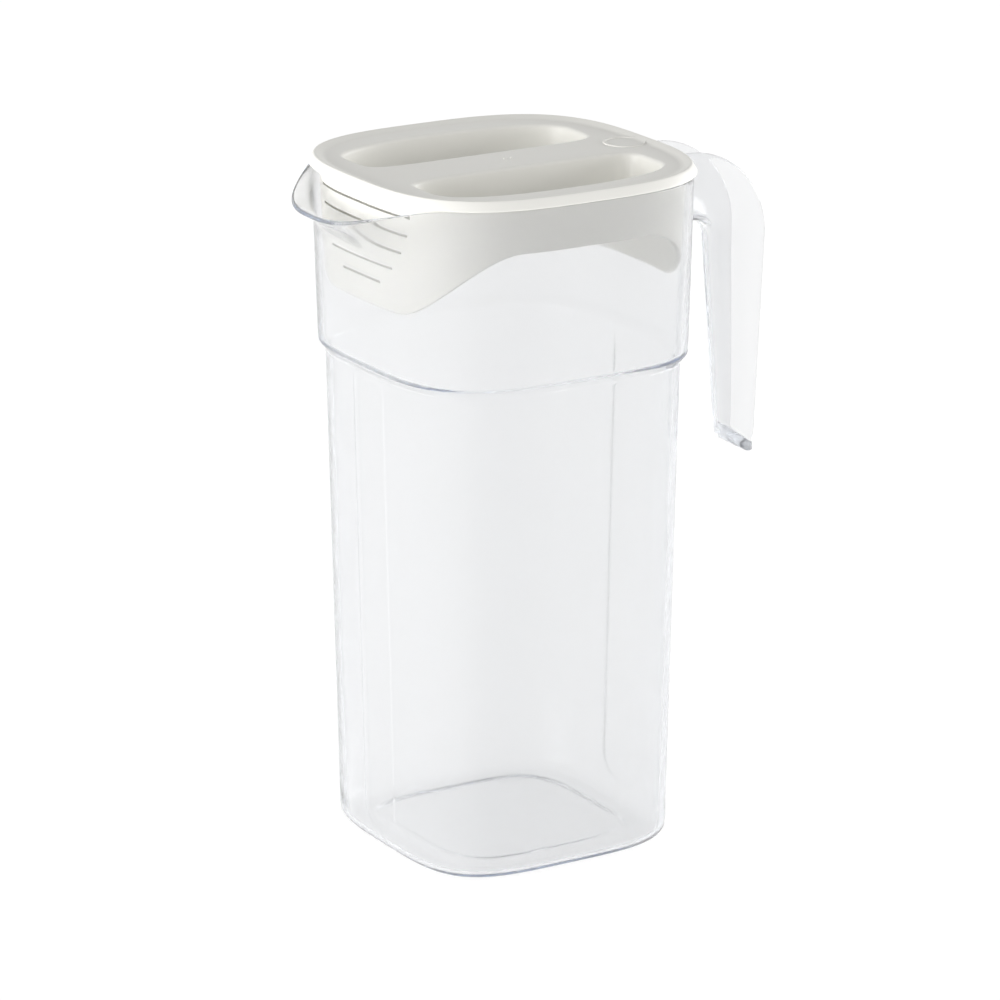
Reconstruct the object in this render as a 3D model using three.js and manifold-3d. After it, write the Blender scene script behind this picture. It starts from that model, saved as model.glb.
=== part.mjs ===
// A clear plastic fridge jug with a white plug lid.
// Millimetres, +Z up. The jug stands on its foot ring at z = 0, the spout points to -X, the handle to +X.
// The origin is under the middle of the whole outline, so the jug's own axis lies at x = AXIS_X.

import * as THREE from 'three';
import { ParametricGeometry } from 'three/addons/geometries/ParametricGeometry.js';
import { mergeVertices } from 'three/addons/utils/BufferGeometryUtils.js';
import Module from 'manifold-3d';

// Heights
const FOOT_Z = 0;
const LEDGE_Z = 178.6;
const COLLAR_Z = 182;
const SPOUT_ROOT_Z = 221;
const RIM_Z = 246;

// Half widths of the rounded-square body, and the exponent that squares each section
const FOOT_HALF = 45.5;
const HEEL_RADIUS = 5.5;
const HEEL_STEPS = 3;
const LEDGE_HALF = 55;
const COLLAR_HALF = 57.4;
const RIM_HALF = 60.4;
const FOOT_CORNER = 3.9;
const LEDGE_CORNER = 3.6;
const RIM_CORNER = 3.1;
const WALL = 2;

// Shallow hollow under the base, inside the foot ring
const BASE_RISE = 1.2;
const BASE_HALF = 36;
const BASE_SLOPE = 4;

// Flat panel pressed into each face of the lower body: wide on the broad sides, narrow under spout and handle
const BROAD_PANEL_HALF = 20;
const NARROW_PANEL_HALF = 11;
const PANEL_DEPTH = 0.3;
const PANEL_FOOT_Z = 7;
const PANEL_TOP_Z = 175;
const PANEL_CORNER = 9;
const PANEL_CORNER_STEPS = 4;

// Spout: the rim flares out and dips
const SPOUT_FLARE = 17;
const SPOUT_DIP = 7.2;
const SPOUT_HALF = 50;
const SPOUT_LIP_DROP = 1.2;
const SPOUT_SHOULDER = 2.8;
const SPOUT_FADE = 2.6;
const SPOUT_CURL = 1.8;
const SPOUT_STEPS = 5;

// Handle: a channel that leaves the collar, turns down and hangs free
const HANDLE_REACH = 104;
const HANDLE_TOP_Z = 244.6;
const HANDLE_OUTER_RADIUS = 33;
const HANDLE_OUTER_END = new THREE.Vector2(102.6, 127);
const ARM_Z = 217.5;
const ARM_RADIUS = 12;
const GRIP_X = 88.5;
const GRIP_END = new THREE.Vector2(93.5, 132.5);
const CHANNEL_HALF_TOP = 12.2;
const CHANNEL_HALF_END = 8.3;
const CHANNEL_CORNER = 3.4;
const CHANNEL_WALL = 2;
const HANDLE_ROOT = 0.5;
const HANDLE_ARC_STEPS = 7;
const HANDLE_TURNS = 24;

// Lid: a flat plate inside a raised rim
const FLANGE_HALF = 61.6;
const FLANGE_Z = 246.4;
const FLANGE_SHOULDER_Z = 248.8;
const BEAD_HALF = 60.6;
const BEAD_Z = 250.2;
const PLATE_HALF = 59.2;
const PLATE_Z = 248.8;
const PLATE = 1.6;
const SKIRT_GAP = 0.4;
const SKIRT_WALL = 1.6;
const SKIRT_LOW_Z = 205.5;
const SKIRT_HIGH_Z = 230;
const SKIRT_TURN_FROM = THREE.MathUtils.degToRad(22);
const SKIRT_TURN_TO = THREE.MathUtils.degToRad(66);

// Finger wells on either side of the lid's bar
const BAR_HALF = 10.8;
const WELL_REACH = 47.3;
const WELL_LENGTH_HALF = 46.5;
const WELL_DEPTH = 16;
const WELL_DRAFT = 1.6;
const WELL_BAR_CORNER = 7;
const WELL_OUTER_CORNER = 2.4;

// Pouring slits in the skirt behind the spout, shorter towards the bottom
const SLIT_COUNT = 5;
const SLIT_TOP_Z = 241;
const SLIT_PITCH = 6.5;
const SLIT_HEIGHT = 1.2;
const SLIT_HALF = 31;
const SLIT_FIELD = 36;
const SLIT_TAPER = 0.65;
const SLIT_CUT = 14;

// Plain raised ring at the handle end of the bar
const RING_X = 51;
const RING_RADIUS = 7.4;
const RING_WIDTH = 0.8;
const RING_RISE = 0.3;

const SPOUT_REACH = RIM_HALF + SPOUT_FLARE;
const AXIS_X = (SPOUT_REACH - HANDLE_REACH) / 2;

// Points round a section, how close two points are one, and how far a cutter runs past a face
const TURNS = 72;
const SAME_POINT = 1e-3;
const CUT_OVER = 1;
const { lerp, smoothstep, clamp } = THREE.MathUtils;

const wasm = await Module();
wasm.setup();

// A closed geometry as a solid: shared points joined, collapsed triangles dropped
function solid(geometry) {
  geometry.deleteAttribute('normal');
  geometry.deleteAttribute('uv');
  const joined = mergeVertices(geometry, SAME_POINT);
  const index = joined.index.array;
  const corners = [];
  for (let i = 0; i < index.length; i += 3) {
    const [a, b, c] = index.subarray(i, i + 3);
    if (a !== b && b !== c && c !== a) corners.push(a, b, c);
  }
  const vertProperties = joined.attributes.position.array;
  const triVerts = Uint32Array.from(corners);
  return new wasm.Manifold(new wasm.Mesh({ numProp: 3, vertProperties, triVerts }));
}

// A solid as a named mesh
function piece(name, body, material) {
  const { vertProperties, triVerts } = body.getMesh();
  const geometry = new THREE.BufferGeometry();
  geometry.setAttribute('position', new THREE.BufferAttribute(vertProperties, 3));
  geometry.setIndex(new THREE.BufferAttribute(triVerts, 1));
  geometry.computeVertexNormals();
  const mesh = new THREE.Mesh(geometry, material);
  mesh.name = name;
  return mesh;
}

// A closed skin through rings of points. ring(row, angle) gives a point, and the end rings are single points.
function skin(rows, turns, ring) {
  const place = (u, v, target) => target.copy(ring(Math.round(v * (rows - 1)), u * 2 * Math.PI));
  return new ParametricGeometry(place, turns, rows - 1);
}

// A point of a squared circle: exponent 2 is an ellipse, and higher exponents fill its corners
function squared(angle, halfX, halfY, exponent) {
  const c = Math.cos(angle);
  const s = Math.sin(angle);
  const reach = (Math.abs(c) ** exponent + Math.abs(s) ** exponent) ** (-1 / exponent);
  return new THREE.Vector2(halfX * c * reach, halfY * s * reach);
}

// The body's section exponent at a height
function corner(z) {
  if (z < LEDGE_Z) return lerp(FOOT_CORNER, LEDGE_CORNER, clamp(z / LEDGE_Z, 0, 1));
  return lerp(LEDGE_CORNER, RIM_CORNER, clamp((z - LEDGE_Z) / (RIM_Z - LEDGE_Z), 0, 1));
}

// Half width of the collar's outer wall at a height
function collarHalf(z) {
  return lerp(COLLAR_HALF, RIM_HALF, (z - COLLAR_Z) / (RIM_Z - COLLAR_Z));
}

// Points of a quarter round from straight down to straight out
function heel(half, z, radius) {
  const points = [];
  for (let i = 1; i <= HEEL_STEPS; i += 1) {
    const a = (i / HEEL_STEPS) * (Math.PI / 2);
    points.push(new THREE.Vector2(half + radius * Math.sin(a), z + radius * (1 - Math.cos(a))));
  }
  return points;
}

// How far the rim is drawn out into the spout at a place across it, from 0 to 1
function spoutShare(y) {
  return (1 - Math.min(1, Math.abs(y) / SPOUT_HALF) ** SPOUT_SHOULDER) ** SPOUT_FADE;
}

// The wall's profile as (half width, height): up the outside, over the rim, down the inside
function wallProfile() {
  const collarRows = [COLLAR_Z];
  for (let i = 0; i <= SPOUT_STEPS; i += 1) collarRows.push(lerp(SPOUT_ROOT_Z, RIM_Z, i / SPOUT_STEPS));
  const floorZ = FOOT_Z + WALL;
  const outside = [
    new THREE.Vector2(0, BASE_RISE),
    new THREE.Vector2(BASE_HALF, BASE_RISE),
    new THREE.Vector2(BASE_HALF + BASE_SLOPE, FOOT_Z),
    new THREE.Vector2(FOOT_HALF, FOOT_Z),
    ...heel(FOOT_HALF, FOOT_Z, HEEL_RADIUS),
    new THREE.Vector2(LEDGE_HALF, LEDGE_Z),
    ...collarRows.map((z) => new THREE.Vector2(collarHalf(z), z)),
  ];
  const inside = [
    new THREE.Vector2(0, BASE_RISE + WALL),
    new THREE.Vector2(BASE_HALF, BASE_RISE + WALL),
    new THREE.Vector2(BASE_HALF + BASE_SLOPE, floorZ),
    new THREE.Vector2(FOOT_HALF, floorZ),
    ...heel(FOOT_HALF, floorZ, HEEL_RADIUS - WALL),
    new THREE.Vector2(LEDGE_HALF - WALL, LEDGE_Z + WALL / 2),
    ...collarRows.map((z, i) => new THREE.Vector2(collarHalf(z) - WALL, i === 0 ? z + WALL / 2 : z)),
  ];
  return { profile: [...outside, ...inside.reverse()], outsideRows: outside.length };
}

// The jug's wall: a squared shell whose rim is drawn out into the spout
function wall() {
  const { profile, outsideRows } = wallProfile();
  const ring = (row, angle) => {
    const { x: half, y: z } = profile[row];
    const flat = squared(angle, half, half, corner(z));
    const rise = clamp((z - SPOUT_ROOT_Z) / (RIM_Z - SPOUT_ROOT_Z), 0, 1);
    const share = flat.x < 0 ? spoutShare(flat.y) : 0;
    const lip = row < outsideRows ? SPOUT_LIP_DROP : 0;
    const x = flat.x - SPOUT_FLARE * share * rise ** SPOUT_CURL;
    return new THREE.Vector3(x, flat.y, z - (SPOUT_DIP + lip) * share * rise);
  };
  return solid(skin(profile.length, TURNS, ring));
}

// The cutter for one face's panel: a slab with round lower corners that leans with the wall
function panelCutter(turn, half) {
  const outline = new THREE.Shape();
  const low = PANEL_FOOT_Z + PANEL_CORNER;
  outline.moveTo(-half, PANEL_TOP_Z);
  outline.lineTo(-half, low);
  outline.absarc(-half + PANEL_CORNER, low, PANEL_CORNER, Math.PI, 1.5 * Math.PI);
  outline.absarc(half - PANEL_CORNER, low, PANEL_CORNER, 1.5 * Math.PI, 2 * Math.PI);
  outline.lineTo(half, PANEL_TOP_Z);
  const settings = { depth: WALL, bevelEnabled: false, curveSegments: PANEL_CORNER_STEPS };
  const slab = new THREE.ExtrudeGeometry(outline, settings);
  const heelHalf = FOOT_HALF + HEEL_RADIUS;
  const lean = Math.atan2(LEDGE_HALF - heelHalf, LEDGE_Z - HEEL_RADIUS);
  slab.rotateX(Math.PI / 2 + lean);
  slab.translate(0, -(heelHalf - PANEL_DEPTH), 0);
  slab.rotateZ(turn);
  return solid(slab);
}

// Stations along the handle: the web's line on the jug side and the flanges' outer line, in the XZ plane
function handleStations() {
  const start = collarHalf(ARM_Z) - HANDLE_ROOT;
  const webCentre = new THREE.Vector2(GRIP_X - ARM_RADIUS, ARM_Z - ARM_RADIUS);
  const edgeCentre = new THREE.Vector2(HANDLE_REACH, HANDLE_TOP_Z).subScalar(HANDLE_OUTER_RADIUS);
  const stations = [{ web: new THREE.Vector2(start, ARM_Z), edge: new THREE.Vector2(start, HANDLE_TOP_Z) }];
  for (let i = 0; i <= HANDLE_ARC_STEPS; i += 1) {
    const a = (Math.PI / 2) * (1 - i / HANDLE_ARC_STEPS);
    const along = new THREE.Vector2(Math.cos(a), Math.sin(a));
    stations.push({
      web: webCentre.clone().addScaledVector(along, ARM_RADIUS),
      edge: edgeCentre.clone().addScaledVector(along, HANDLE_OUTER_RADIUS),
    });
  }
  stations.push({ web: GRIP_END.clone(), edge: HANDLE_OUTER_END.clone() });
  const top = stations[HANDLE_ARC_STEPS + 1].edge.y;
  for (const station of stations) {
    const fall = clamp((top - station.edge.y) / (top - HANDLE_OUTER_END.y), 0, 1);
    station.half = lerp(CHANNEL_HALF_TOP, CHANNEL_HALF_END, fall);
  }
  return stations;
}

// One swept body of the handle. inset shrinks it at the web and both flanks, and over lifts its open side.
function channelBody(stations, inset, over) {
  const rows = [stations[0], ...stations, stations.at(-1)];
  const ring = (row, angle) => {
    const { web, edge, half } = rows[row];
    const deep = edge.clone().sub(web);
    const depth = deep.length();
    const out = deep.normalize();
    const pole = row === 0 || row === rows.length - 1;
    const flat = squared(angle, half - inset, depth - inset + over, CHANNEL_CORNER);
    const rise = pole ? depth / 2 : Math.min(depth + over, depth + over + flat.y);
    const across = pole ? 0 : flat.x;
    return new THREE.Vector3(web.x + out.x * rise, across, web.y + out.y * rise);
  };
  return solid(skin(rows.length, HANDLE_TURNS, ring));
}

// The handle: a swept body with its channel cut out, closed at its free end
function handle() {
  const stations = handleStations();
  const body = channelBody(stations, 0, 0);
  const last = stations.at(-1);
  const before = stations.at(-2);
  const share = CHANNEL_WALL / last.web.distanceTo(before.web);
  const stop = {
    web: last.web.clone().lerp(before.web, share),
    edge: last.edge.clone().lerp(before.edge, share),
    half: last.half,
  };
  const cutter = channelBody([...stations.slice(0, -1), stop], CHANNEL_WALL, CUT_OVER);
  return body.subtract(cutter);
}

// The jug: wall, handle and the four pressed panels in one moulding
function jug() {
  let body = wall().add(handle());
  for (let face = 0; face < 4; face += 1) {
    const half = face % 2 === 0 ? BROAD_PANEL_HALF : NARROW_PANEL_HALF;
    body = body.subtract(panelCutter((face * Math.PI) / 2, half));
  }
  return body;
}

// Height of the skirt's lower edge: deep behind the spout and the handle, shallow at the sides
function skirtEdge(x, y) {
  const turn = Math.atan2(Math.abs(y), Math.abs(x));
  return lerp(SKIRT_LOW_Z, SKIRT_HIGH_Z, smoothstep(turn, SKIRT_TURN_FROM, SKIRT_TURN_TO));
}

// The lid's plate with its raised rim and the skirt that plugs the collar
function cover() {
  const underZ = PLATE_Z - PLATE;
  const inset = WALL + SKIRT_GAP;
  const topHalf = RIM_HALF - inset;
  const profile = [
    { half: 0, z: underZ },
    { half: topHalf - SKIRT_WALL, z: underZ },
    { skirt: 1, inset: inset + SKIRT_WALL },
    { skirt: 1, inset },
    { half: topHalf, z: FLANGE_Z },
    { half: FLANGE_HALF, z: FLANGE_Z },
    { half: FLANGE_HALF, z: FLANGE_SHOULDER_Z },
    { half: BEAD_HALF, z: BEAD_Z },
    { half: PLATE_HALF, z: PLATE_Z },
    { half: 0, z: PLATE_Z },
  ];
  const ring = (row, angle) => {
    const { half, z, skirt, inset: gap } = profile[row];
    if (!skirt) {
      const flat = squared(angle, half, half, RIM_CORNER);
      return new THREE.Vector3(flat.x, flat.y, z);
    }
    const guide = squared(angle, 1, 1, RIM_CORNER);
    const edge = skirtEdge(guide.x, guide.y);
    const low = collarHalf(edge) - gap;
    const flat = squared(angle, low, low, RIM_CORNER);
    return new THREE.Vector3(flat.x, flat.y, edge);
  };
  return solid(skin(profile.length, TURNS, ring));
}

// A finger well on the side given by sign, drafted towards its floor. grow makes the basin around it.
function well(sign, grow, topZ, floorZ) {
  const middle = (BAR_HALF + WELL_REACH) / 2;
  const halfY = (WELL_REACH - BAR_HALF) / 2;
  const rows = [
    { z: floorZ, pole: true },
    { z: floorZ, draft: WELL_DRAFT * 2 },
    { z: floorZ + WELL_DRAFT, draft: WELL_DRAFT },
    { z: topZ, draft: 0 },
    { z: topZ, pole: true },
  ];
  const ring = (row, angle) => {
    const { z, pole, draft } = rows[row];
    if (pole) return new THREE.Vector3(0, sign * middle, z);
    const barSide = Math.sin(angle) * sign < 0;
    const exponent = barSide ? WELL_BAR_CORNER : WELL_OUTER_CORNER;
    const inset = draft - grow;
    const flat = squared(angle, WELL_LENGTH_HALF - inset, halfY - inset, exponent);
    return new THREE.Vector3(flat.x, sign * middle + flat.y, z);
  };
  return solid(skin(rows.length, TURNS / 2, ring));
}

// The pouring slits, as one list of cutters
function slits() {
  const cutters = [];
  for (let i = 0; i < SLIT_COUNT; i += 1) {
    const z = SLIT_TOP_Z - i * SLIT_PITCH;
    const share = (RIM_Z - z) / SLIT_FIELD;
    const half = SLIT_HALF * (1 - share ** 2) ** SLIT_TAPER;
    const slit = new THREE.BoxGeometry(SLIT_CUT, 2 * half, SLIT_HEIGHT);
    slit.translate(-(RIM_HALF - WALL), 0, z);
    cutters.push(solid(slit));
  }
  return cutters;
}

// The plain raised ring on the bar
function ringMark() {
  const inner = RING_RADIUS - RING_WIDTH / 2;
  const outer = RING_RADIUS + RING_WIDTH / 2;
  const low = PLATE_Z - PLATE / 2;
  const high = PLATE_Z + RING_RISE;
  const section = [[inner, low], [outer, low], [outer, high], [inner, high], [inner, low]];
  const ring = new THREE.LatheGeometry(section.map(([r, z]) => new THREE.Vector2(r, z)), TURNS / 2);
  ring.rotateX(Math.PI / 2);
  ring.translate(RING_X, 0, 0);
  return solid(ring);
}

// The lid: plate, flange, skirt and the two finger wells in one moulding
function lid() {
  const floorZ = PLATE_Z - WELL_DEPTH;
  let body = cover().add(ringMark());
  for (const sign of [-1, 1]) {
    body = body.add(well(sign, PLATE, PLATE_Z - PLATE / 2, floorZ - PLATE));
  }
  for (const sign of [-1, 1]) {
    body = body.subtract(well(sign, 0, PLATE_Z + PLATE, floorZ));
  }
  for (const cutter of slits()) body = body.subtract(cutter);
  return body;
}

const clearPlastic = new THREE.MeshStandardMaterial({
  color: 0xe9ebee, roughness: 0.12, metalness: 0, transparent: true, opacity: 0.35,
});
const whitePlastic = new THREE.MeshStandardMaterial({ color: 0xe8e8e2, roughness: 0.42, metalness: 0 });

const part = new THREE.Group();
part.add(piece('jug', jug(), clearPlastic));
part.add(piece('lid', lid(), whitePlastic));
for (const mesh of part.children) mesh.position.x = AXIS_X;

export default part;
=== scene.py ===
# %% [markdown]
# A clear fridge jug with a white plug lid
#
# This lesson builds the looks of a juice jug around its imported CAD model. The jug is one clear moulding:
# a tapered body with rounded-square sections, a wider collar above a small ledge, a lip that is drawn out
# into a spout, and a channel-shaped handle. The lid is one white moulding with a skirt, a border that
# rises to its edge, and two finger wells. The CAD solids have the right sizes but few facets, and clear
# plastic shows every facet, so both pieces are made again here as dense smooth meshes from the same rules
# and sizes.

# %% Load the frame
import math

import bmesh
import bpy
import numpy as np
from mathutils import Matrix, Vector


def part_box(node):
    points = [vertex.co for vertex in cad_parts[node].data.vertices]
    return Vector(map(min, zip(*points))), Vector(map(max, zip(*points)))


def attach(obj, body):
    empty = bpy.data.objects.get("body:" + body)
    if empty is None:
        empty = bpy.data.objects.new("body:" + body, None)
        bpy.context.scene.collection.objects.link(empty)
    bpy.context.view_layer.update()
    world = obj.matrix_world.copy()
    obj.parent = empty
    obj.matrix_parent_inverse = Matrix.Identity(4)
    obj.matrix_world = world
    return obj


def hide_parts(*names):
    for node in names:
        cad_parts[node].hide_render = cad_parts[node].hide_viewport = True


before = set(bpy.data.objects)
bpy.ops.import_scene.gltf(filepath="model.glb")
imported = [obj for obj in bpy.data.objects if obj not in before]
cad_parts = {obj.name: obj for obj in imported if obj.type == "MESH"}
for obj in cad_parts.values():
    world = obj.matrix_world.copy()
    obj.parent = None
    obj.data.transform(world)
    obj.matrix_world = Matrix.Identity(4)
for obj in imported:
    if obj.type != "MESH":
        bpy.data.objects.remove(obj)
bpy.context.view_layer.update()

MM = 0.001
JUG_LOW, JUG_HIGH = (np.array(corner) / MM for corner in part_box("jug"))
LID_LOW, LID_HIGH = (np.array(corner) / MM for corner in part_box("lid"))

# %% [markdown]
# Sizes from the frame
#
# The frame gives the outer sizes: the lid is centred on the jug's axis, so the middle of its box is that
# axis. Everything below is worked out in millimetres about the axis and moved to the row's frame at the
# end. Only the sizes that a box can't tell, such as the ledge and the wall, are written as values of
# their own.

# %% Driving sizes in millimetres
AXIS_X = (LID_LOW[0] + LID_HIGH[0]) / 2
RIM_Z = JUG_HIGH[2]
RIM_HALF = JUG_HIGH[1]
SPOUT_REACH = AXIS_X - JUG_LOW[0]
HANDLE_REACH = JUG_HIGH[0] - AXIS_X
WALL = 2.0
LEDGE_Z, LEDGE_HALF = 178.6, 55.0
COLLAR_Z, COLLAR_HALF = 182.0, 57.4
FOOT_HALF, HEEL_RADIUS = 45.5, 5.5
FOOT_SQUARE, LEDGE_SQUARE, RIM_SQUARE = 3.9, 3.6, 3.1
print(f"axis x {AXIS_X:.1f}, rim z {RIM_Z:.1f}")
print(f"spout reach {SPOUT_REACH:.1f}, handle reach {HANDLE_REACH:.1f}")

# %% [markdown]
# Squared sections and rounded profiles
#
# Most moulded fridge jugs have sections between a circle and a square. A superellipse is one short
# formula for that: exponent 2 is a circle, and a higher exponent fills the corners. Profiles are drawn as
# a few corner points with a radius each, and one function turns them into straight runs and arcs. A lathe
# tool or a bevel could do parts of this, but a formula keeps the inner and the outer wall exactly the
# same distance apart.

# %% Section and profile helpers
def lerp(low, high, share):
    return low + (high - low) * share


def smoothstep(value):
    share = np.clip(value, 0.0, 1.0)
    return share * share * (3.0 - 2.0 * share)


def squared(angle, half_x, half_y, exponent):
    """Points of a squared circle at these angles."""
    c, s = np.cos(angle), np.sin(angle)
    reach = (np.abs(c) ** exponent + np.abs(s) ** exponent) ** (-1.0 / exponent)
    return half_x * c * reach, half_y * s * reach


def body_square(z):
    """The body's section exponent at a height: squarer at the foot, rounder at the rim."""
    return np.interp(z, [0.0, LEDGE_Z, RIM_Z], [FOOT_SQUARE, LEDGE_SQUARE, RIM_SQUARE])


def collar_half(z):
    """Half width of the collar's outer face at a height."""
    return lerp(COLLAR_HALF, RIM_HALF, (z - COLLAR_Z) / (RIM_Z - COLLAR_Z))


def rounded(corners, arc_steps=6):
    """A line through (across, height, radius, step) corners: arcs, and runs cut to about step."""
    places = np.array([corner[:2] for corner in corners], float)
    line = [places[0]]
    for i in range(1, len(corners)):
        here, radius = places[i], corners[i][2]
        arc = [here]
        if radius > 0:
            back = (places[i - 1] - here) / np.linalg.norm(places[i - 1] - here)
            on = (places[i + 1] - here) / np.linalg.norm(places[i + 1] - here)
            half_angle = math.acos(np.clip(back @ on, -1.0, 1.0)) / 2
            middle = here + (back + on) / np.linalg.norm(back + on) * radius / math.sin(half_angle)
            ends = [here + way * radius / math.tan(half_angle) - middle for way in (back, on)]
            first, last = (math.atan2(end[1], end[0]) for end in ends)
            sweep = (last - first + math.pi) % (2 * math.pi) - math.pi
            turns = first + sweep * np.linspace(0.0, 1.0, arc_steps + 1)
            arc = [middle + radius * np.array([math.cos(turn), math.sin(turn)]) for turn in turns]
        run = np.linalg.norm(arc[0] - line[-1])
        pieces = max(1, math.ceil(run / corners[i - 1][3]))
        line += [lerp(line[-1], arc[0], k / pieces) for k in range(1, pieces)]
        line += arc
    return np.array(line)


print("half width of the collar at the rim", round(float(collar_half(RIM_Z)), 2), "mm")

# %% [markdown]
# Lofts
#
# A loft joins rings of points with strips of quads. Both mouldings, the handle and the wells are lofts,
# so one function makes the mesh. A cap closes an end with a single flat face. The points go from
# millimetres about the jug's axis to metres in the row's frame here, and nowhere else.

# %% Loft helper
def strips(mesh, rings):
    """Add rings of points to a bmesh and join each to the next. Returns the rings' vertices."""
    rows = [[mesh.verts.new(((x + AXIS_X) * MM, y * MM, z * MM)) for x, y, z in ring] for ring in rings]
    count = len(rows[0])
    for low, high in zip(rows, rows[1:]):
        for i in range(count):
            j = (i + 1) % count
            mesh.faces.new((low[i], low[j], high[j], high[i]))
    return rows


def finished(name, mesh):
    """Turn a bmesh into a smooth object at the origin with its faces pointing outwards."""
    bmesh.ops.recalc_face_normals(mesh, faces=mesh.faces)
    data = bpy.data.meshes.new(name)
    mesh.to_mesh(data)
    mesh.free()
    data.shade_smooth()
    piece = bpy.data.objects.new(name, data)
    bpy.context.scene.collection.objects.link(piece)
    return piece


def baked(piece):
    """Give a piece its evaluated mesh and clear its modifiers."""
    graph = bpy.context.evaluated_depsgraph_get()
    data = bpy.data.meshes.new_from_object(piece.evaluated_get(graph))
    piece.modifiers.clear()
    piece.data = data
    return piece


def combined(piece, other, operation):
    """Join another closed piece to this one or cut it away, and remove it."""
    step = piece.modifiers.new(operation.lower(), "BOOLEAN")
    step.operation = operation
    step.solver = "MANIFOLD"
    step.object = other
    baked(piece)
    bpy.data.objects.remove(other)
    return piece


def open_edges(piece):
    """How many edges don't have exactly two faces. A closed solid has none."""
    mesh = bmesh.new()
    mesh.from_mesh(piece.data)
    count = sum(not edge.is_manifold for edge in mesh.edges)
    mesh.free()
    return count


print("loft helpers ready")

# %% [markdown]
# Adding nodes
#
# Materials and geometry trees are both built from nodes. One small function adds a node with its options
# and its inputs, where an input is either a plain value or the output of another node. Colours are
# written as the hex values that a paint program shows, and one function turns them into the linear values
# that light is worked in.

# %% Node and colour helpers
def add(tree, kind, inputs=None, **options):
    """Add a node with its options, and set or link its inputs."""
    made = tree.nodes.new(kind)
    for name, value in options.items():
        setattr(made, name, value)
    for socket, value in (inputs or {}).items():
        if isinstance(value, bpy.types.NodeSocket):
            tree.links.new(value, made.inputs[socket])
        else:
            made.inputs[socket].default_value = value
    return made


def linear(hex_colour):
    """A hex sRGB colour as linear red, green, blue and alpha."""
    parts = [int(hex_colour[i : i + 2], 16) / 255 for i in (1, 3, 5)]
    return [p / 12.92 if p <= 0.04045 else ((p + 0.055) / 1.055) ** 2.4 for p in parts] + [1.0]


print("white paper in linear light", [round(p, 3) for p in linear("#F2F2F0")])

# %% [markdown]
# Clear polypropylene, moulded against a polished tool
#
# Fridge jugs are often clarified polypropylene. It is glossy, and 2 mm of it looks almost colourless, but
# along an edge the light runs through 20 mm or more and comes out dimmer and a little blue. A tint on the
# surface can't give that, so the blue is in the volume, and the surface has only a faint grey. The index
# is about 1.49. It is drawn at 1.28, because this plastic is slightly cloudy and hides most of the dark
# lines that a clear solid of the full index would show. The melt also leaves upright streaks of haze,
# which a stretched noise gives to the roughness.

# %% Clear polypropylene
def clear_polypropylene():
    material = bpy.data.materials.new("clear_polypropylene_polished_moulding")
    material.use_nodes = True
    tree = material.node_tree
    tree.nodes.clear()
    place = add(tree, "ShaderNodeTexCoord").outputs["Object"]
    flow_mm, upright = 14.0, 0.08
    drawn = add(tree, "ShaderNodeMapping", {0: place, "Scale": (1.0, 1.0, upright)})
    flow = add(tree, "ShaderNodeTexNoise",
               {"Vector": drawn.outputs[0], "Scale": 1 / (flow_mm * MM), "Detail": 1.0})
    haze = add(tree, "ShaderNodeMapRange", {0: flow.outputs[0], 1: 0.3, 2: 0.7, 3: 0.06, 4: 0.1})
    shader = add(tree, "ShaderNodeBsdfPrincipled", {
        "Base Color": linear("#F9F9F9"), "Roughness": haze.outputs[0], "IOR": 1.28,
        "Transmission Weight": 0.9,
    })
    depth = add(tree, "ShaderNodeVolumeAbsorption", {"Color": linear("#B2CBEA"), "Density": 14.0})
    add(tree, "ShaderNodeOutputMaterial", {"Surface": shader.outputs[0], "Volume": depth.outputs[0]})
    return material


CLEAR = clear_polypropylene()
print("made", CLEAR.name)

# %% [markdown]
# White polypropylene, moulded against a fine spark-eroded tool
#
# The lid is opaque white polypropylene. Its tool has a fine even grain, so it is satin: broad soft
# reflections and no sharp ones. The grain is about 0.5 mm across, drawn a little coarser than life so
# that it shows, and a slow warm drift keeps the white from looking like one flat colour.

# %% White polypropylene
def white_polypropylene():
    material = bpy.data.materials.new("white_polypropylene_satin_moulding")
    material.use_nodes = True
    tree = material.node_tree
    tree.nodes.clear()
    place = add(tree, "ShaderNodeTexCoord").outputs["Object"]
    grain_mm, drift_mm = 0.6, 45.0
    grain = add(tree, "ShaderNodeTexNoise", {"Vector": place, "Scale": 1 / (grain_mm * MM), "Detail": 2.0})
    drift = add(tree, "ShaderNodeTexNoise", {"Vector": place, "Scale": 1 / (drift_mm * MM), "Detail": 2.0})
    cool, warm = linear("#EFEEE9"), linear("#EAE9E3")
    tint = add(tree, "ShaderNodeMix", {"Factor": drift.outputs[0], 6: warm, 7: cool}, data_type="RGBA")
    satin = add(tree, "ShaderNodeMapRange", {0: grain.outputs[0], 1: 0.25, 2: 0.75, 3: 0.36, 4: 0.46})
    relief = add(tree, "ShaderNodeBump",
                 {"Strength": 0.15, "Distance": 0.05 * MM, "Height": grain.outputs[0]})
    shader = add(tree, "ShaderNodeBsdfPrincipled", {
        "Base Color": tint.outputs[2], "Roughness": satin.outputs[0], "IOR": 1.49,
        "Normal": relief.outputs[0],
    })
    add(tree, "ShaderNodeOutputMaterial", {"Surface": shader.outputs[0]})
    return material


WHITE = white_polypropylene()
print("made", WHITE.name)

# %% [markdown]
# The wall's blank
#
# The wall is a shell: up the outside, over the rim and down the inside. Its profile is a short list of
# corners with radii. The blank is a net with one row for each point of that profile, and each of its
# points carries numbers and no shape yet: how far round it is, how far out, how high. The columns bunch
# at the edges of the flat panels that are pressed into the four faces, so that each panel's edge is a
# clean line.

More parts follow.
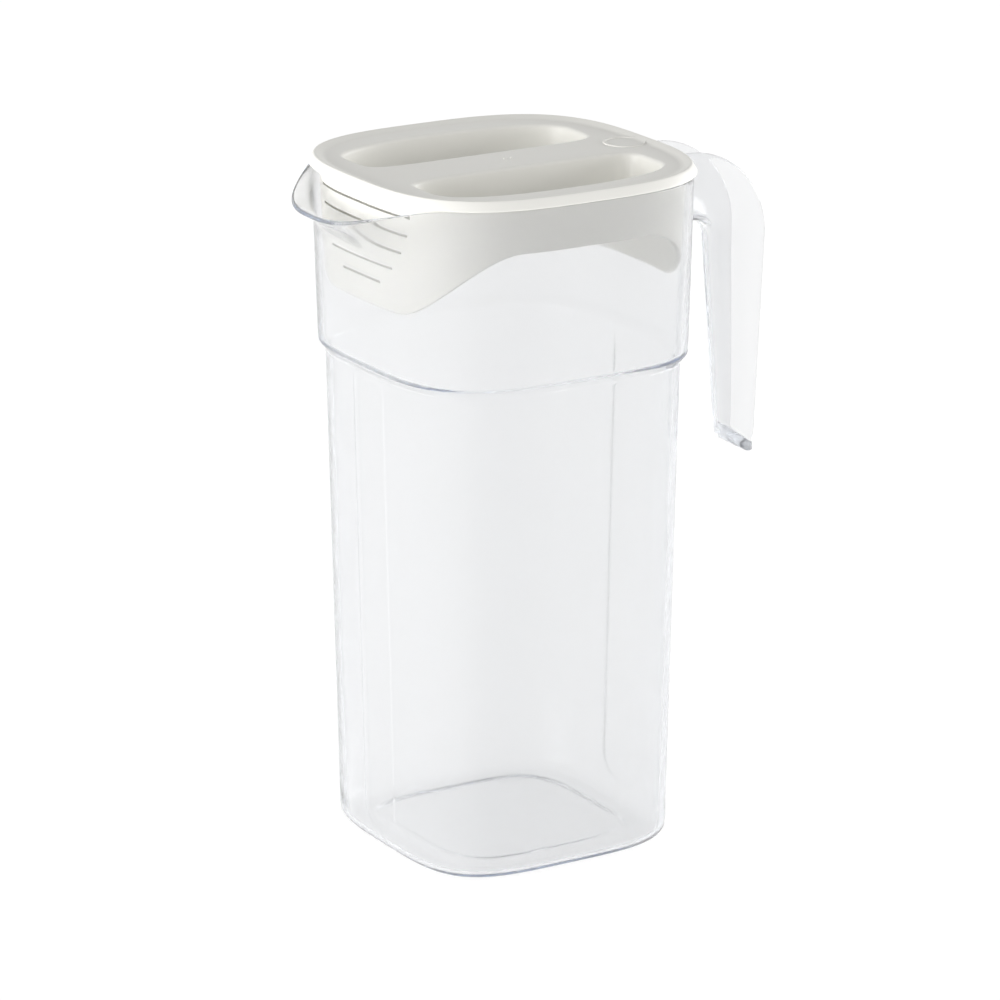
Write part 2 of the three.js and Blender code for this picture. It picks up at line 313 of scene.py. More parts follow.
# %% Wall profile
BASE_RISE, BASE_HALF, BASE_SLOPE, BASE_SOFT = 1.2, 36.0, 4.0, 8.0
HEEL_HALF = FOOT_HALF + HEEL_RADIUS
HEEL_FLARE, HEEL_FLARE_Z = 0.4, 20
LIP_WALL, LIP_ROUND, LEDGE_SOFT = 1.0, 0.42, 2.2
outside = [
    (0, BASE_RISE, 0, 6), (BASE_HALF, BASE_RISE, BASE_SOFT, 1), (BASE_HALF + BASE_SLOPE, 0, BASE_SOFT, 3),
    (HEEL_HALF, 0, HEEL_RADIUS, 1.0), (HEEL_HALF + HEEL_FLARE, HEEL_FLARE_Z, 0, 6),
    (LEDGE_HALF, LEDGE_Z, LEDGE_SOFT, 1),
    (COLLAR_HALF, COLLAR_Z, LEDGE_SOFT, 2), (RIM_HALF, RIM_Z, LIP_ROUND, 1),
]
inside = [
    (RIM_HALF - LIP_WALL, RIM_Z, LIP_ROUND, 2), (COLLAR_HALF - WALL, COLLAR_Z + WALL / 2, LEDGE_SOFT, 1),
    (LEDGE_HALF - WALL, LEDGE_Z + WALL / 2, LEDGE_SOFT, 8), (HEEL_HALF - WALL, WALL, HEEL_RADIUS - WALL, 3),
    (BASE_HALF + BASE_SLOPE, WALL, BASE_SOFT, 1), (BASE_HALF, BASE_RISE + WALL, BASE_SOFT, 6),
    (0, BASE_RISE + WALL, 0, 1),
]
profile = rounded(outside + inside)
rim_row = int(np.argmax(profile[:, 1]))
print(len(profile), "rows, the rim at row", rim_row)

# %% Panels pressed into the faces
BROAD_PANEL_HALF, NARROW_PANEL_HALF = 20.0, 11.0
PANEL_DEPTH, PANEL_STEP, PANEL_CORNER = 0.22, 1.3, 9.0
PANEL_FOOT_Z, PANEL_TOP_Z = 7.0, 175.0
MIDDLE_COLUMNS, STEP_COLUMNS, CORNER_COLUMNS = 12, 4, 30
WIDEST_SHARES, TINY = [0.40, 0.42], 1e-6


def face_turns(half, square, panel_half):
    """Angles across one face at one height, from corner to corner, bunched at the panel's edges."""
    edges = np.minimum(np.array([panel_half - PANEL_STEP, panel_half]) / max(half, TINY), WIDEST_SHARES)
    inner, outer = np.arctan2(edges, (1 - edges ** square) ** (1 / square))
    right = np.concatenate([
        np.linspace(0, inner, MIDDLE_COLUMNS + 1)[:-1],
        np.linspace(inner, outer, STEP_COLUMNS + 1)[:-1],
        np.linspace(outer, math.pi / 4, CORNER_COLUMNS + 1),
    ])
    return np.concatenate([-right[:0:-1], right[:-1]])


def panel_press(across, z, panel_half):
    """How deep a panel is pressed at a place on its face. Its two lower corners are round."""
    side = np.abs(across) - (panel_half - PANEL_CORNER)
    foot = PANEL_FOOT_Z + PANEL_CORNER - z
    outline = np.hypot(np.maximum(side, 0), np.maximum(foot, 0)) + np.minimum(np.maximum(side, foot), 0)
    inward = np.minimum(PANEL_CORNER - outline, PANEL_TOP_Z - z)
    return PANEL_DEPTH * smoothstep(inward / PANEL_STEP)


def wall_blank():
    """A net of points that carry the wall's numbers as attributes."""
    numbers = {"turn": [], "half": [], "level": [], "square": [], "outer": []}
    for row, (half, z) in enumerate(profile):
        square = float(body_square(z))
        for face in range(4):
            panel_half = NARROW_PANEL_HALF if face % 2 == 0 else BROAD_PANEL_HALF
            turns = face_turns(half, square, panel_half)
            across = squared(math.pi / 2 - turns, half, half, square)[0]
            on_outside = row <= rim_row
            press = panel_press(across, z, panel_half) if on_outside else np.zeros_like(turns)
            numbers["turn"].append(turns + face * math.pi / 2)
            numbers["half"].append(half - press)
            for name, value in (("level", z), ("square", square), ("outer", float(on_outside))):
                numbers[name].append(np.full_like(turns, value))
    columns = 4 * len(turns)
    mesh = bmesh.new()
    strips(mesh, np.zeros((len(profile), columns, 3)))
    blank = finished("jug", mesh)
    for name, parts in numbers.items():
        layer = blank.data.attributes.new(name, "FLOAT", "POINT")
        layer.data.foreach_set("value", np.concatenate(parts).astype(np.float32))
    return blank, columns


jug, columns = wall_blank()
print("blank of", len(profile), "rows and", columns, "columns")

# %% [markdown]
# Rolling the wall up
#
# The wall's shape follows a rule, so Geometry Nodes work it out: each point goes round a squared section
# and up to its level, and near the rim on the spout's side it is drawn out and down. The rule is a list
# of steps, one arithmetic node each, and the spout's sizes are named inputs that the modifier sets before
# its result is kept as a plain mesh.

# %% Spout rule as a geometry tree
SPOUT = {
    "Spout Flare": SPOUT_REACH - RIM_HALF, "Spout Dip": 7.2, "Spout Lip Drop": 1.2, "Spout Half": 50.0,
    "Spout Shoulder": 2.8, "Spout Fade": 2.6, "Spout Curl": 1.8, "Spout Root": 221.0, "Rim Height": RIM_Z,
    "Axis X": AXIS_X, "Unit": MM,
}
RULE = [
    ("cos", "COSINE", "turn"), ("sin", "SINE", "turn"), ("cos size", "ABSOLUTE", "cos"),
    ("sin size", "ABSOLUTE", "sin"), ("cos part", "POWER", "cos size", "square"),
    ("sin part", "POWER", "sin size", "square"), ("parts", "ADD", "cos part", "sin part"),
    ("inverse", "DIVIDE", -1.0, "square"), ("reach", "POWER", "parts", "inverse"),
    ("out", "MULTIPLY", "reach", "half"), ("x", "MULTIPLY", "out", "cos"), ("y", "MULTIPLY", "out", "sin"),
    ("y size", "ABSOLUTE", "y"), ("y share", "DIVIDE", "y size", "Spout Half"),
    ("y held", "MINIMUM", "y share", 1.0), ("shoulder", "POWER", "y held", "Spout Shoulder"),
    ("left over", "SUBTRACT", 1.0, "shoulder"), ("fade", "POWER", "left over", "Spout Fade"),
    ("spout side", "LESS_THAN", "x", 0.0), ("share", "MULTIPLY", "fade", "spout side"),
    ("climb", "SUBTRACT", "level", "Spout Root"), ("height", "SUBTRACT", "Rim Height", "Spout Root"),
    ("climb part", "DIVIDE", "climb", "height"), ("climb top", "MINIMUM", "climb part", 1.0),
    ("rise", "MAXIMUM", "climb top", 0.0), ("curl", "POWER", "rise", "Spout Curl"),
    ("flare", "MULTIPLY", "Spout Flare", "share"), ("drawn", "MULTIPLY", "flare", "curl"),
    ("lip", "MULTIPLY", "Spout Lip Drop", "outer"), ("dip", "ADD", "Spout Dip", "lip"),
    ("dip share", "MULTIPLY", "dip", "share"), ("drop", "MULTIPLY", "dip share", "rise"),
    ("spout x", "SUBTRACT", "x", "drawn"), ("row x", "ADD", "spout x", "Axis X"),
    ("row z", "SUBTRACT", "level", "drop"),
    ("metres x", "MULTIPLY", "row x", "Unit"), ("metres y", "MULTIPLY", "y", "Unit"),
    ("metres z", "MULTIPLY", "row z", "Unit"),
]


def new_tree(name, values):
    """A geometry tree with geometry, named numbers and a material as inputs, and geometry as output."""
    tree = bpy.data.node_groups.new(name, "GeometryNodeTree")
    tree.interface.new_socket("Geometry", in_out="INPUT", socket_type="NodeSocketGeometry")
    for label, value in values.items():
        kind = "NodeSocketInt" if isinstance(value, int) else "NodeSocketFloat"
        tree.interface.new_socket(label, in_out="INPUT", socket_type=kind)
    tree.interface.new_socket("Material", in_out="INPUT", socket_type="NodeSocketMaterial")
    tree.interface.new_socket("Geometry", in_out="OUTPUT", socket_type="NodeSocketGeometry")
    return tree, add(tree, "NodeGroupInput")


def end_tree(tree, start, geometry):
    """Finish a tree: real geometry instead of instances, with its material set."""
    real = add(tree, "GeometryNodeRealizeInstances", {0: geometry})
    dressed = add(tree, "GeometryNodeSetMaterial",
                  {0: real.outputs[0], "Material": start.outputs["Material"]})
    add(tree, "NodeGroupOutput", {0: dressed.outputs[0]})


def apply_tree(piece, tree, values, material):
    """Run a tree on a piece with its inputs set, and keep the result as a plain mesh."""
    step = piece.modifiers.new(tree.name, "NODES")
    step.node_group = tree
    given = dict(values, Material=material)
    for socket in tree.interface.items_tree:
        if socket.in_out == "INPUT" and socket.name in given:
            step[socket.identifier] = given[socket.name]
    return baked(piece)


def wall_tree():
    tree, start = new_tree("jug_wall_rule", SPOUT)
    values = {label: start.outputs[label] for label in SPOUT}
    for label in ("turn", "half", "level", "square", "outer"):
        read = add(tree, "GeometryNodeInputNamedAttribute", {"Name": label}, data_type="FLOAT")
        values[label] = read.outputs[0]
    for label, operation, *terms in RULE:
        inputs = {i: values[term] if isinstance(term, str) else term for i, term in enumerate(terms)}
        values[label] = add(tree, "ShaderNodeMath", inputs, operation=operation, label=label).outputs[0]
    place = add(tree, "ShaderNodeCombineXYZ", {i: values["metres " + axis] for i, axis in enumerate("xyz")})
    rolled = add(tree, "GeometryNodeSetPosition", {0: start.outputs[0], "Position": place.outputs[0]})
    joined = add(tree, "GeometryNodeMergeByDistance", {0: rolled.outputs[0], "Distance": TINY})
    end_tree(tree, start, joined.outputs[0])
    return tree


apply_tree(jug, wall_tree(), SPOUT, CLEAR)
for label in ("turn", "half", "level", "square", "outer"):
    jug.data.attributes.remove(jug.data.attributes[label])
print("wall of", len(jug.data.polygons), "faces,", open_edges(jug), "open edges")

# %% [markdown]
# The handle
#
# The handle is a channel: a web on the jug's side and two flanges that stand outwards, open towards the
# hand's palm and closed at the free end. It is a loft of one closed section, carried along two lines, the
# web's and the flanges' edge, because the channel gets shallower towards its end. A curve with a bevel
# can't change its section like that.

# %% Handle lines and section
HANDLE_TOP_Z, HANDLE_OUTER_RADIUS, HANDLE_OUTER_END = 244.6, 33.0, (102.6, 127.0)
ARM_Z, ARM_RADIUS, GRIP_X, GRIP_END = 217.5, 12.0, 88.5, (93.5, 132.5)
CHANNEL_HALF_TOP, CHANNEL_HALF_END, CHANNEL_SQUARE, CHANNEL_WALL = 12.2, 8.3, 3.4, 2.0
HANDLE_ROOT, END_ROUND, END_FADE = 0.5, 2.4, 2.0
ARM_STATIONS, ARC_STATIONS, HANG_STATIONS = 6, 26, 30
END_STATIONS, FADE_RINGS, ROUND_RINGS = 3, 9, 8
JUG_SHARP_ANGLE = math.radians(50)
U_POINTS, EDGE_POINTS = 48, 7


def handle_lines():
    """Matching points on the web's line and the flanges' edge line, in the plane through the spout."""
    start = collar_half(ARM_Z) - HANDLE_ROOT
    turns = np.linspace(math.pi / 2, 0, ARC_STATIONS)
    way = np.stack([np.cos(turns), np.sin(turns)], 1)
    web_arc = np.array([GRIP_X, ARM_Z]) - ARM_RADIUS + ARM_RADIUS * way
    edge_arc = np.array([HANDLE_REACH, HANDLE_TOP_Z]) - HANDLE_OUTER_RADIUS + HANDLE_OUTER_RADIUS * way
    arm = np.linspace(0, 1, ARM_STATIONS)[:-1, None]
    hang = np.linspace(0, 1, HANG_STATIONS)[1:, None]
    web = np.concatenate([
        lerp(np.array([start, ARM_Z]), web_arc[0], arm), web_arc,
        lerp(web_arc[-1], np.array(GRIP_END), hang)])
    edge = np.concatenate([
        lerp(np.array([start, HANDLE_TOP_Z]), edge_arc[0], arm), edge_arc,
        lerp(edge_arc[-1], np.array(HANDLE_OUTER_END), hang)])
    return web, edge, edge_arc[-1][1]


def handle_ring(web, edge, half, hollow, inset, along):
    """One closed section: round the outside, over one edge, back along the channel, over the other edge."""
    out = (edge - web) / np.linalg.norm(edge - web)
    deep = np.linalg.norm(edge - web) - inset
    wide = half - inset
    lip = CHANNEL_WALL / 2
    under = np.linspace(math.pi, 2 * math.pi, U_POINTS)
    over = np.linspace(0, math.pi, EDGE_POINTS + 2)[1:-1]
    out_x, out_y = squared(under, wide, deep - lip - inset, CHANNEL_SQUARE)
    lining = deep - lip - inset - CHANNEL_WALL
    in_x, in_y = squared(under[::-1], wide - CHANNEL_WALL, lining, CHANNEL_SQUARE)
    in_y = in_y * hollow + lip * (1 - hollow)
    near = np.stack([wide - lip + lip * np.cos(over), lip * np.sin(over)], 1)
    far = np.stack([-(wide - lip) + lip * np.cos(over), lip * np.sin(over)], 1)
    flat = np.concatenate([np.stack([out_x, out_y], 1), near, np.stack([in_x, in_y], 1), far])
    place = web + along + out * (deep - lip + flat[:, 1])[:, None]
    return np.stack([place[:, 0], flat[:, 0], place[:, 1]], 1)


# %% Handle loft
def handle():
    web, edge, top = handle_lines()
    fall = np.clip((top - edge[:, 1]) / (top - HANDLE_OUTER_END[1]), 0, 1)
    half = lerp(CHANNEL_HALF_TOP, CHANNEL_HALF_END, fall)
    still = np.zeros(2)
    rings = [handle_ring(w, e, h, 1.0, 0.0, still) for w, e, h in zip(web, edge, half)]
    down = (web[-1] + edge[-1] - web[-2] - edge[-2]) / 2
    down = down / np.linalg.norm(down)
    length = CHANNEL_WALL + END_ROUND + END_FADE
    # The last stations make room for the rings that close the channel and round its end.
    rings = rings[:-END_STATIONS]
    for share in np.linspace(0, 1, FADE_RINGS):
        hollow = math.sqrt(max(0.0, 1 - share ** 2))
        back = -down * (length - END_FADE * share)
        rings.append(handle_ring(web[-1], edge[-1], half[-1], hollow, 0.0, back))
    for turn in np.linspace(0, math.pi / 2, ROUND_RINGS):
        inset = END_ROUND * (1 - math.cos(turn))
        back = down * END_ROUND * (math.sin(turn) - 1)
        rings.append(handle_ring(web[-1], edge[-1], half[-1], 0.0, inset, back))
    mesh = bmesh.new()
    rows = strips(mesh, rings)
    mesh.faces.new(rows[0])
    mesh.faces.new(rows[-1])
    return finished("handle", mesh)


grip = handle()
print("handle of", len(grip.data.polygons), "faces,", open_edges(grip), "open edges")
combined(jug, grip, "UNION")
jug.data.set_sharp_from_angle(angle=JUG_SHARP_ANGLE)
print("jug of", len(jug.data.polygons), "faces,", open_edges(jug), "open edges")

# %% [markdown]
# The lid
#
# The lid is one moulding, made as lofted strips that meet on flat faces. The outer strip runs from the
# plate up the rising border, over its edge and down the flange, down the skirt, round its lower edge and
# up the inside. Each finger well is a strip from the plate down to its floor, with a basin around it
# below. The flat parts between the strips are filled last. A boolean could cut the wells, but then their
# soft rounded rims would have to be bevelled afterwards.

# %% Lid strips
FLANGE_HALF, BEAD_Z = LID_HIGH[1], LID_HIGH[2]
FLANGE_Z, FLANGE_LEAN, FLANGE_ROUND, FLANGE_FOOT_ROUND = 246.4, 2.0, 0.7, 0.4
PLATE_Z, PLATE_EDGE, BORDER_HALF, BORDER_SOFT = 248.8, 55.6, 56.4, 5.0
PLATE, SKIRT_GAP, SKIRT_WALL = 1.6, 0.4, 1.6
SKIRT_LOW_Z, SKIRT_HIGH_Z = LID_LOW[2], 230.0
SKIRT_TURN_FROM, SKIRT_TURN_TO = math.radians(22), math.radians(66)
LID_COLUMNS, SKIRT_ROWS, SKIRT_EDGE_ROWS, FLAT_MARGIN = 320, 22, 8, 0.8
SAME_LEVEL, LID_SHARP_ANGLE = 1e-3, math.radians(45)
UNDER_Z = PLATE_Z - PLATE
round_the_lid = np.linspace(0, 2 * math.pi, LID_COLUMNS, endpoint=False)


def lid_ring(half, z):
    x, y = squared(round_the_lid, half, half, RIM_SQUARE)
    return np.stack([x, y, np.broadcast_to(z, x.shape)], 1)


def skirt_edge():
    """Height of the skirt's lower edge round the lid: deep at spout and handle, shallow at the sides."""
    x, y = squared(round_the_lid, 1, 1, RIM_SQUARE)
    turn = np.arctan2(np.abs(y), np.abs(x))
    share = (turn - SKIRT_TURN_FROM) / (SKIRT_TURN_TO - SKIRT_TURN_FROM)
    return lerp(SKIRT_LOW_Z, SKIRT_HIGH_Z, smoothstep(share))


def lid_shell(mesh):
    """The outer strip, from the plate's edge round to the underside."""
    outer_gap = WALL + SKIRT_GAP
    top = rounded([
        (PLATE_EDGE, PLATE_Z, 0, 1), (BORDER_HALF, PLATE_Z, BORDER_SOFT, 2),
        (FLANGE_HALF - FLANGE_LEAN, BEAD_Z, FLANGE_ROUND, 1), (FLANGE_HALF, FLANGE_Z, FLANGE_FOOT_ROUND, 1),
        (RIM_HALF - outer_gap, FLANGE_Z, 0, 1),
    ])
    rings = [lid_ring(PLATE_EDGE - FLAT_MARGIN, PLATE_Z)]
    rings += [lid_ring(half, z) for half, z in top]
    edge = SKIRT_WALL / 2
    low = skirt_edge() + edge
    for share in np.linspace(0, 1, SKIRT_ROWS)[1:]:
        z = lerp(FLANGE_Z, low, share)
        rings.append(lid_ring(collar_half(z) - outer_gap, z))
    for turn in np.linspace(0, math.pi, SKIRT_EDGE_ROWS)[1:-1]:
        middle = collar_half(low) - outer_gap - edge
        rings.append(lid_ring(middle + edge * math.cos(turn), low - edge * math.sin(turn)))
    for share in np.linspace(1, 0, SKIRT_ROWS):
        z = lerp(UNDER_Z, low, share)
        rings.append(lid_ring(collar_half(z) - outer_gap - SKIRT_WALL, z))
    rings.append(lid_ring(RIM_HALF - outer_gap - SKIRT_WALL - FLAT_MARGIN, UNDER_Z))
    strips(mesh, rings)


# %% Finger wells
BAR_HALF, WELL_REACH, WELL_LENGTH_HALF = 10.8, 47.3, 46.5
WELL_DEPTH, WELL_DRAFT, WELL_BAR_SQUARE, WELL_OUTER_SQUARE = 16.0, 1.6, 7.0, 2.4
WELL_RIM_ROUND, WELL_FLOOR_ROUND, WELL_COLUMNS = 1.6, 3.0, 192
WELL_LEAD, WELL_FLOOR_RUN = 1.0, 6
WELL_FLOOR_Z = PLATE_Z - WELL_DEPTH
round_a_well = np.linspace(0, 2 * math.pi, WELL_COLUMNS, endpoint=False)


def well_ring(side, inset, z):
    """A D-shaped outline: nearly straight along the bar, bowed on the outer side."""
    middle, half_y = (BAR_HALF + WELL_REACH) / 2, (WELL_REACH - BAR_HALF) / 2
    square = np.where(np.sin(round_a_well) * side < 0, WELL_BAR_SQUARE, WELL_OUTER_SQUARE)
    x, y = squared(round_a_well, WELL_LENGTH_HALF - inset, half_y - inset, square)
    return np.stack([x, side * middle + y, np.full_like(x, z)], 1)


def well_strips(mesh, side):
    """A well's inside from the plate down, and the basin around it from the underside down."""
    soft, half_soft = WELL_RIM_ROUND, WELL_RIM_ROUND / 2
    inner = rounded([
        (-half_soft - WELL_LEAD, PLATE_Z, 0, 1), (half_soft, PLATE_Z, soft, 2),
        (half_soft + WELL_DRAFT, WELL_FLOOR_Z, WELL_FLOOR_ROUND, 3),
        (half_soft + WELL_DRAFT + WELL_FLOOR_RUN, WELL_FLOOR_Z, 0, 1),
    ])
    outer = [(x - PLATE, z - PLATE) for x, z in inner]
    for line in (inner, outer):
        rings = [well_ring(side, line[0][0] - FLAT_MARGIN, line[0][1])]
        rings += [well_ring(side, x, z) for x, z in line]
        floor = strips(mesh, rings)[-1]
        mesh.faces.new(floor)


# %% Fill the flats between the strips
def lid_body():
    mesh = bmesh.new()
    lid_shell(mesh)
    for side in (-1, 1):
        well_strips(mesh, side)
    for z in (PLATE_Z, UNDER_Z):
        rims = [edge for edge in mesh.edges if edge.is_boundary]
        flat = [edge for edge in rims if all(abs(v.co.z / MM - z) < SAME_LEVEL for v in edge.verts)]
        bmesh.ops.triangle_fill(mesh, use_beauty=True, edges=flat, normal=(0, 0, 1))
    return finished("lid", mesh)


lid = lid_body()
lid.data.materials.append(WHITE)
print("lid of", len(lid.data.polygons), "faces,", open_edges(lid), "open edges")

# %% [markdown]
# Pouring slits
#
# Behind the spout the skirt has a row of thin slits that hold back pulp and ice. Each is shorter than the
# one above it. What repeats is made by Geometry Nodes: a line of points, one bar on each, with its length
# worked out from its height. The bars are the cutters for one boolean.

# %% Slit cutters as a geometry tree
SLITS = {
    "Count": 5, "Top": 241.0, "Pitch": 6.5, "Height": 0.9, "Longest Half": 31.0, "Field": 36.0,
    "Taper": 0.65, "Cut": 14.0, "Rim Height": RIM_Z, "Place X": AXIS_X - (RIM_HALF - WALL), "Unit": MM,
}
SLIT_RULE = [
    ("fall", "MULTIPLY", "index", "Pitch"), ("level", "SUBTRACT", "Top", "fall"),
    ("below", "SUBTRACT", "Rim Height", "level"), ("part", "DIVIDE", "below", "Field"),
    ("part squared", "MULTIPLY", "part", "part"), ("left over", "SUBTRACT", 1.0, "part squared"),
    ("taper", "POWER", "left over", "Taper"), ("half", "MULTIPLY", "taper", "Longest Half"),
    ("long", "ADD", "half", "half"), ("size x", "MULTIPLY", "Cut", "Unit"),
    ("size y", "MULTIPLY", "long", "Unit"), ("size z", "MULTIPLY", "Height", "Unit"),
    ("place x", "MULTIPLY", "Place X", "Unit"), ("place z", "MULTIPLY", "level", "Unit"),
]


def slit_tree():
    tree, start = new_tree("pouring_slits", SLITS)
    values = {label: start.outputs[label] for label in SLITS}
    values["index"] = add(tree, "GeometryNodeInputIndex").outputs[0]
    for label, operation, *terms in SLIT_RULE:
        inputs = {i: values[term] if isinstance(term, str) else term for i, term in enumerate(terms)}
        values[label] = add(tree, "ShaderNodeMath", inputs, operation=operation, label=label).outputs[0]
    place = add(tree, "ShaderNodeCombineXYZ", {0: values["place x"], 2: values["place z"]})
    size = add(tree, "ShaderNodeCombineXYZ", {i: values["size " + axis] for i, axis in enumerate("xyz")})
    points = add(tree, "GeometryNodeMeshLine", {"Count": values["Count"]})
    placed = add(tree, "GeometryNodeSetPosition", {0: points.outputs[0], "Position": place.outputs[0]})
    bar = add(tree, "GeometryNodeMeshCube", {"Size": (1.0, 1.0, 1.0)})
    bars = add(tree, "GeometryNodeInstanceOnPoints",
               {"Points": placed.outputs[0], "Instance": bar.outputs[0], "Scale": size.outputs[0]})
    end_tree(tree, start, bars.outputs[0])
    return tree


cutters = bpy.data.objects.new("slit_cutters", bpy.data.meshes.new("slit_cutters"))
bpy.context.scene.collection.objects.link(cutters)
apply_tree(cutters, slit_tree(), SLITS, WHITE)
print(SLITS["Count"], "slits, longest", round(max(v.co.y for v in cutters.data.vertices) / MM * 2, 1), "mm")
combined(lid, cutters, "DIFFERENCE")

# %% [markdown]
# Marks on the bar
#
# At the handle's end of the bar is a plain raised ring, and near the middle are two tiny pips. They are
# part of the moulding, so they join the lid. A ring is a circle swept along a circle, which Geometry
# Nodes give directly.

# %% Ring and pips
RING = {"Ring Radius": 7.4 * MM, "Ring Width": 0.45 * MM, "Ring X": (AXIS_X + 51.0) * MM,
        "Plate": PLATE_Z * MM, "Pip Radius": 0.55 * MM, "Pip X": (AXIS_X + 1.2) * MM, "Pip Gap": 2.6 * MM}


def mark_tree():
    tree, start = new_tree("bar_marks", RING)
    path = add(tree, "GeometryNodeCurvePrimitiveCircle",
               {"Resolution": 96, "Radius": start.outputs["Ring Radius"]})
    section = add(tree, "GeometryNodeCurvePrimitiveCircle",
                  {"Resolution": 16, "Radius": start.outputs["Ring Width"]})
    swept = add(tree, "GeometryNodeCurveToMesh", {0: path.outputs[0], 1: section.outputs[0]})
    ring_place = add(tree, "ShaderNodeCombineXYZ", {0: start.outputs["Ring X"], 2: start.outputs["Plate"]})
    ring = add(tree, "GeometryNodeTransform", {0: swept.outputs[0], "Translation": ring_place.outputs[0]})
    pip_place = add(tree, "ShaderNodeCombineXYZ", {0: start.outputs["Pip X"], 2: start.outputs["Plate"]})
    pip_gap = add(tree, "ShaderNodeCombineXYZ", {0: start.outputs["Pip Gap"]})
    pair = add(tree, "GeometryNodeMeshLine",
               {"Count": 2, "Start Location": pip_place.outputs[0], "Offset": pip_gap.outputs[0]})
    ball = add(tree, "GeometryNodeMeshIcoSphere",
               {"Radius": start.outputs["Pip Radius"], "Subdivisions": 3})
    pips = add(tree, "GeometryNodeInstanceOnPoints",
               {"Points": pair.outputs[0], "Instance": ball.outputs[0]})
    both = add(tree, "GeometryNodeJoinGeometry", {0: ring.outputs[0]})
    tree.links.new(pips.outputs[0], both.inputs[0])
    end_tree(tree, start, both.outputs[0])
    return tree


marks = bpy.data.objects.new("bar_marks", bpy.data.meshes.new("bar_marks"))
bpy.context.scene.collection.objects.link(marks)
apply_tree(marks, mark_tree(), RING, WHITE)
print("marks of", len(marks.data.polygons), "faces,", open_edges(marks), "open edges")
combined(lid, marks, "UNION")
lid.data.shade_smooth()
lid.data.set_sharp_from_angle(angle=LID_SHARP_ANGLE)
print("lid of", len(lid.data.polygons), "faces,", open_edges(lid), "open edges")

# %% [markdown]
# Standing in for the CAD nodes
#
# Each smooth piece replaces the CAD node it was made from and rides on the one body there is.

# %% Ride and replace
for piece, node, slot in ((jug, "jug", "clear_plastic"), (lid, "lid", "white_plastic")):
    piece.name = node + "_moulding"
    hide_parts(node)
    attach(piece, "root")
    triangles = sum(len(face.vertices) - 2 for face in piece.data.polygons)
    print(piece.name, triangles, "triangles")

# %% [markdown]
# Floor and light
#
# The jug stands on a lit white table in a white tent, the usual way to show clear plastic: light comes
# through and round it, and the edges draw themselves. The table is a pale floor that glows, so shadows
# stay faint. A long soft light stands low on each side, the one on the spout's side a little stronger,
# and the tent is dimmer overhead, which leaves the lid's top a soft grey. Light is followed for many
# steps, because a clear wall can turn it many times before it gets out.

# %% Floor
def lit_table():
    material = bpy.data.materials.new("white_acrylic_lit_table")
    material.use_nodes = True
    tree = material.node_tree
    tree.nodes.clear()
    shader = add(tree, "ShaderNodeBsdfPrincipled", {
        "Base Color": linear("#707070"), "Roughness": 0.8, "Specular IOR Level": 0.1,
        "Emission Color": (1.0, 1.0, 1.0, 1.0), "Emission Strength": 0.9,
    })
    add(tree, "ShaderNodeOutputMaterial", {"Surface": shader.outputs[0]})
    return material


FLOOR_HALF, FLOOR_DROP = 12.0, 0.0003
sheet = bpy.data.meshes.new("floor")
sheet.from_pydata(
    [(x * FLOOR_HALF, y * FLOOR_HALF, -FLOOR_DROP) for x, y in ((-1, -1), (1, -1), (1, 1), (-1, 1))], [],
    [(0, 1, 2, 3)])
floor = bpy.data.objects.new("floor", sheet)
bpy.context.scene.collection.objects.link(floor)
sheet.materials.append(lit_table())
print("floor", 2 * FLOOR_HALF, "m across")

# %% Lights
def soft_light(name, place, aim, size, power):
    lamp = bpy.data.lights.new(name, "AREA")
    lamp.shape = "RECTANGLE"
    lamp.size, lamp.size_y = size
    lamp.energy = power
    stand = bpy.data.objects.new(name, lamp)
    way = Vector(aim) - Vector(place)
    stand.matrix_world = Matrix.Translation(place) @ way.to_track_quat("-Z", "Y").to_matrix().to_4x4()
    bpy.context.scene.collection.objects.link(stand)
    return stand


JUG_MIDDLE = (0, 0, 0.2)
soft_light("spout_side_light", (-2.6, 0.0, 0.5), JUG_MIDDLE, (2.6, 0.9), 54.0)
soft_light("handle_side_light", (2.7, -0.6, 0.5), JUG_MIDDLE, (2.4, 0.9), 50.0)


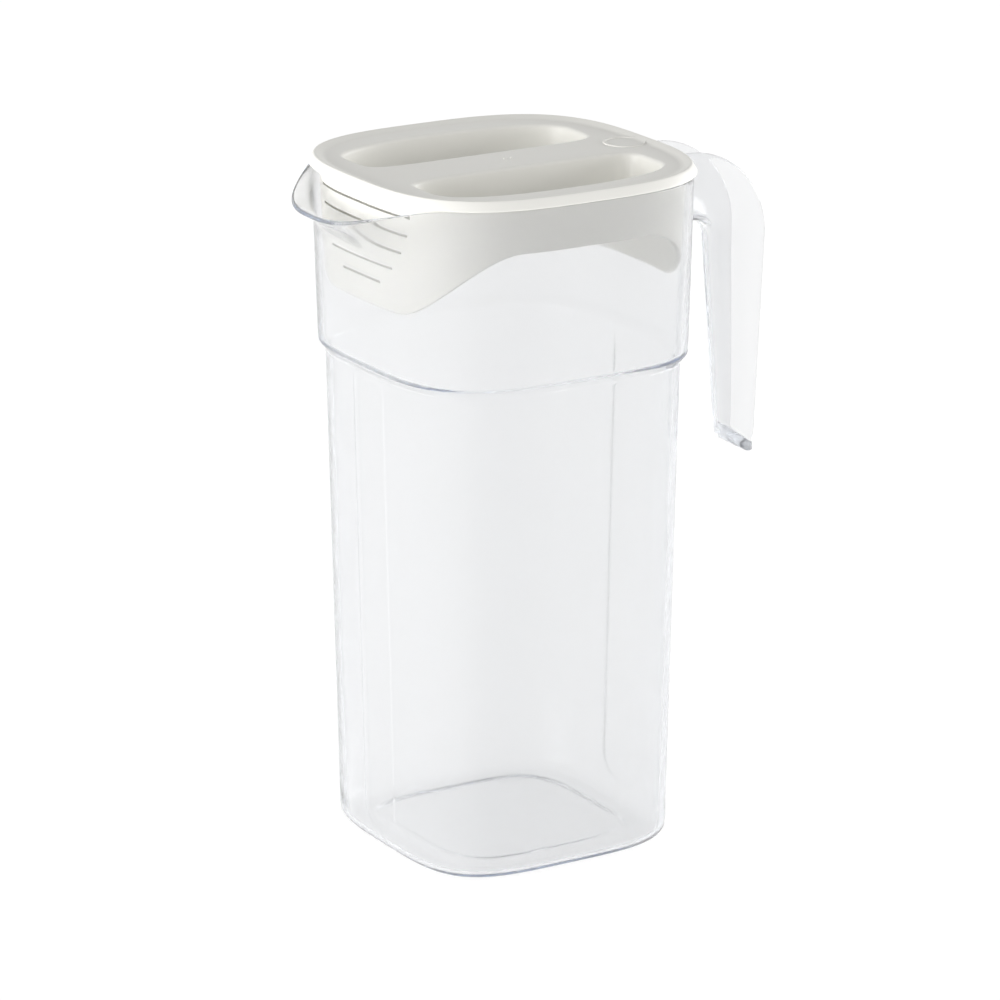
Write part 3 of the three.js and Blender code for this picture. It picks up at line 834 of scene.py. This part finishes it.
def tent_room():
    """A white tent: bright round the horizon, dimmer overhead and on the side where the camera looks in."""
    room = bpy.data.worlds.new("white_tent")
    room.use_nodes = True
    tree = room.node_tree
    tree.nodes.clear()
    way = add(tree, "ShaderNodeSeparateXYZ", {0: add(tree, "ShaderNodeTexCoord").outputs["Generated"]})
    top = add(tree, "ShaderNodeMapRange", {0: way.outputs[2], 1: 0.15, 2: 0.85, 3: 1.1, 4: 0.6})
    mouth = add(tree, "ShaderNodeMapRange", {0: way.outputs[1], 1: -1.0, 2: 0.1, 3: 0.85, 4: 1.0})
    level = add(tree, "ShaderNodeMath", {0: top.outputs[0], 1: mouth.outputs[0]}, operation="MULTIPLY")
    glow = add(tree, "ShaderNodeBackground", {"Strength": level.outputs[0]})
    add(tree, "ShaderNodeOutputWorld", {0: glow.outputs[0]})
    return room


bpy.context.scene.world = tent_room()
bpy.context.scene.view_settings.view_transform = "Standard"
LIGHT_STEPS = 128
for limit in ("max_bounces", "transmission_bounces", "glossy_bounces"):
    setattr(bpy.context.scene.cycles, limit, LIGHT_STEPS)
print("two soft lights in a white tent")

# %% [markdown]
# Camera
#
# The camera stands where the photograph's did. Its turn, height, distance and focal length were found by
# fitting the jug's outline, so the render lies over the photograph. The camera looks along the line from
# its place to the middle of the jug, shifted by a millimetre or so, which the fit asked for too.

# %% Place the camera
AZIMUTH, ELEVATION = math.radians(-31.038), math.radians(17.281)
DISTANCE, FOCAL_PIXELS, IMAGE_PIXELS, SENSOR_MM = 1800.0, 5022.926, 1000, 36.0
TARGET, SIDE_STEP, UP_STEP = Vector((AXIS_X, 0.0, 125.0)), -0.694, -1.348
level = math.cos(ELEVATION)
back = Vector((math.sin(AZIMUTH) * level, -math.cos(AZIMUTH) * level, math.sin(ELEVATION)))
right = Vector((math.cos(AZIMUTH), math.sin(AZIMUTH), 0.0))
up = back.cross(right)
lens = bpy.data.cameras.new("camera")
lens.sensor_width = SENSOR_MM
lens.lens = SENSOR_MM * FOCAL_PIXELS / IMAGE_PIXELS
lens.clip_end = 100.0
camera = bpy.data.objects.new("camera", lens)
turned = Matrix((right, up, back)).transposed().to_4x4()
place = (TARGET + back * DISTANCE + right * SIDE_STEP + up * UP_STEP) * MM
camera.matrix_world = Matrix.Translation(place) @ turned
bpy.context.scene.collection.objects.link(camera)
bpy.context.scene.camera = camera
print("camera at", [round(v, 3) for v in place], "lens", round(lens.lens, 1), "mm")
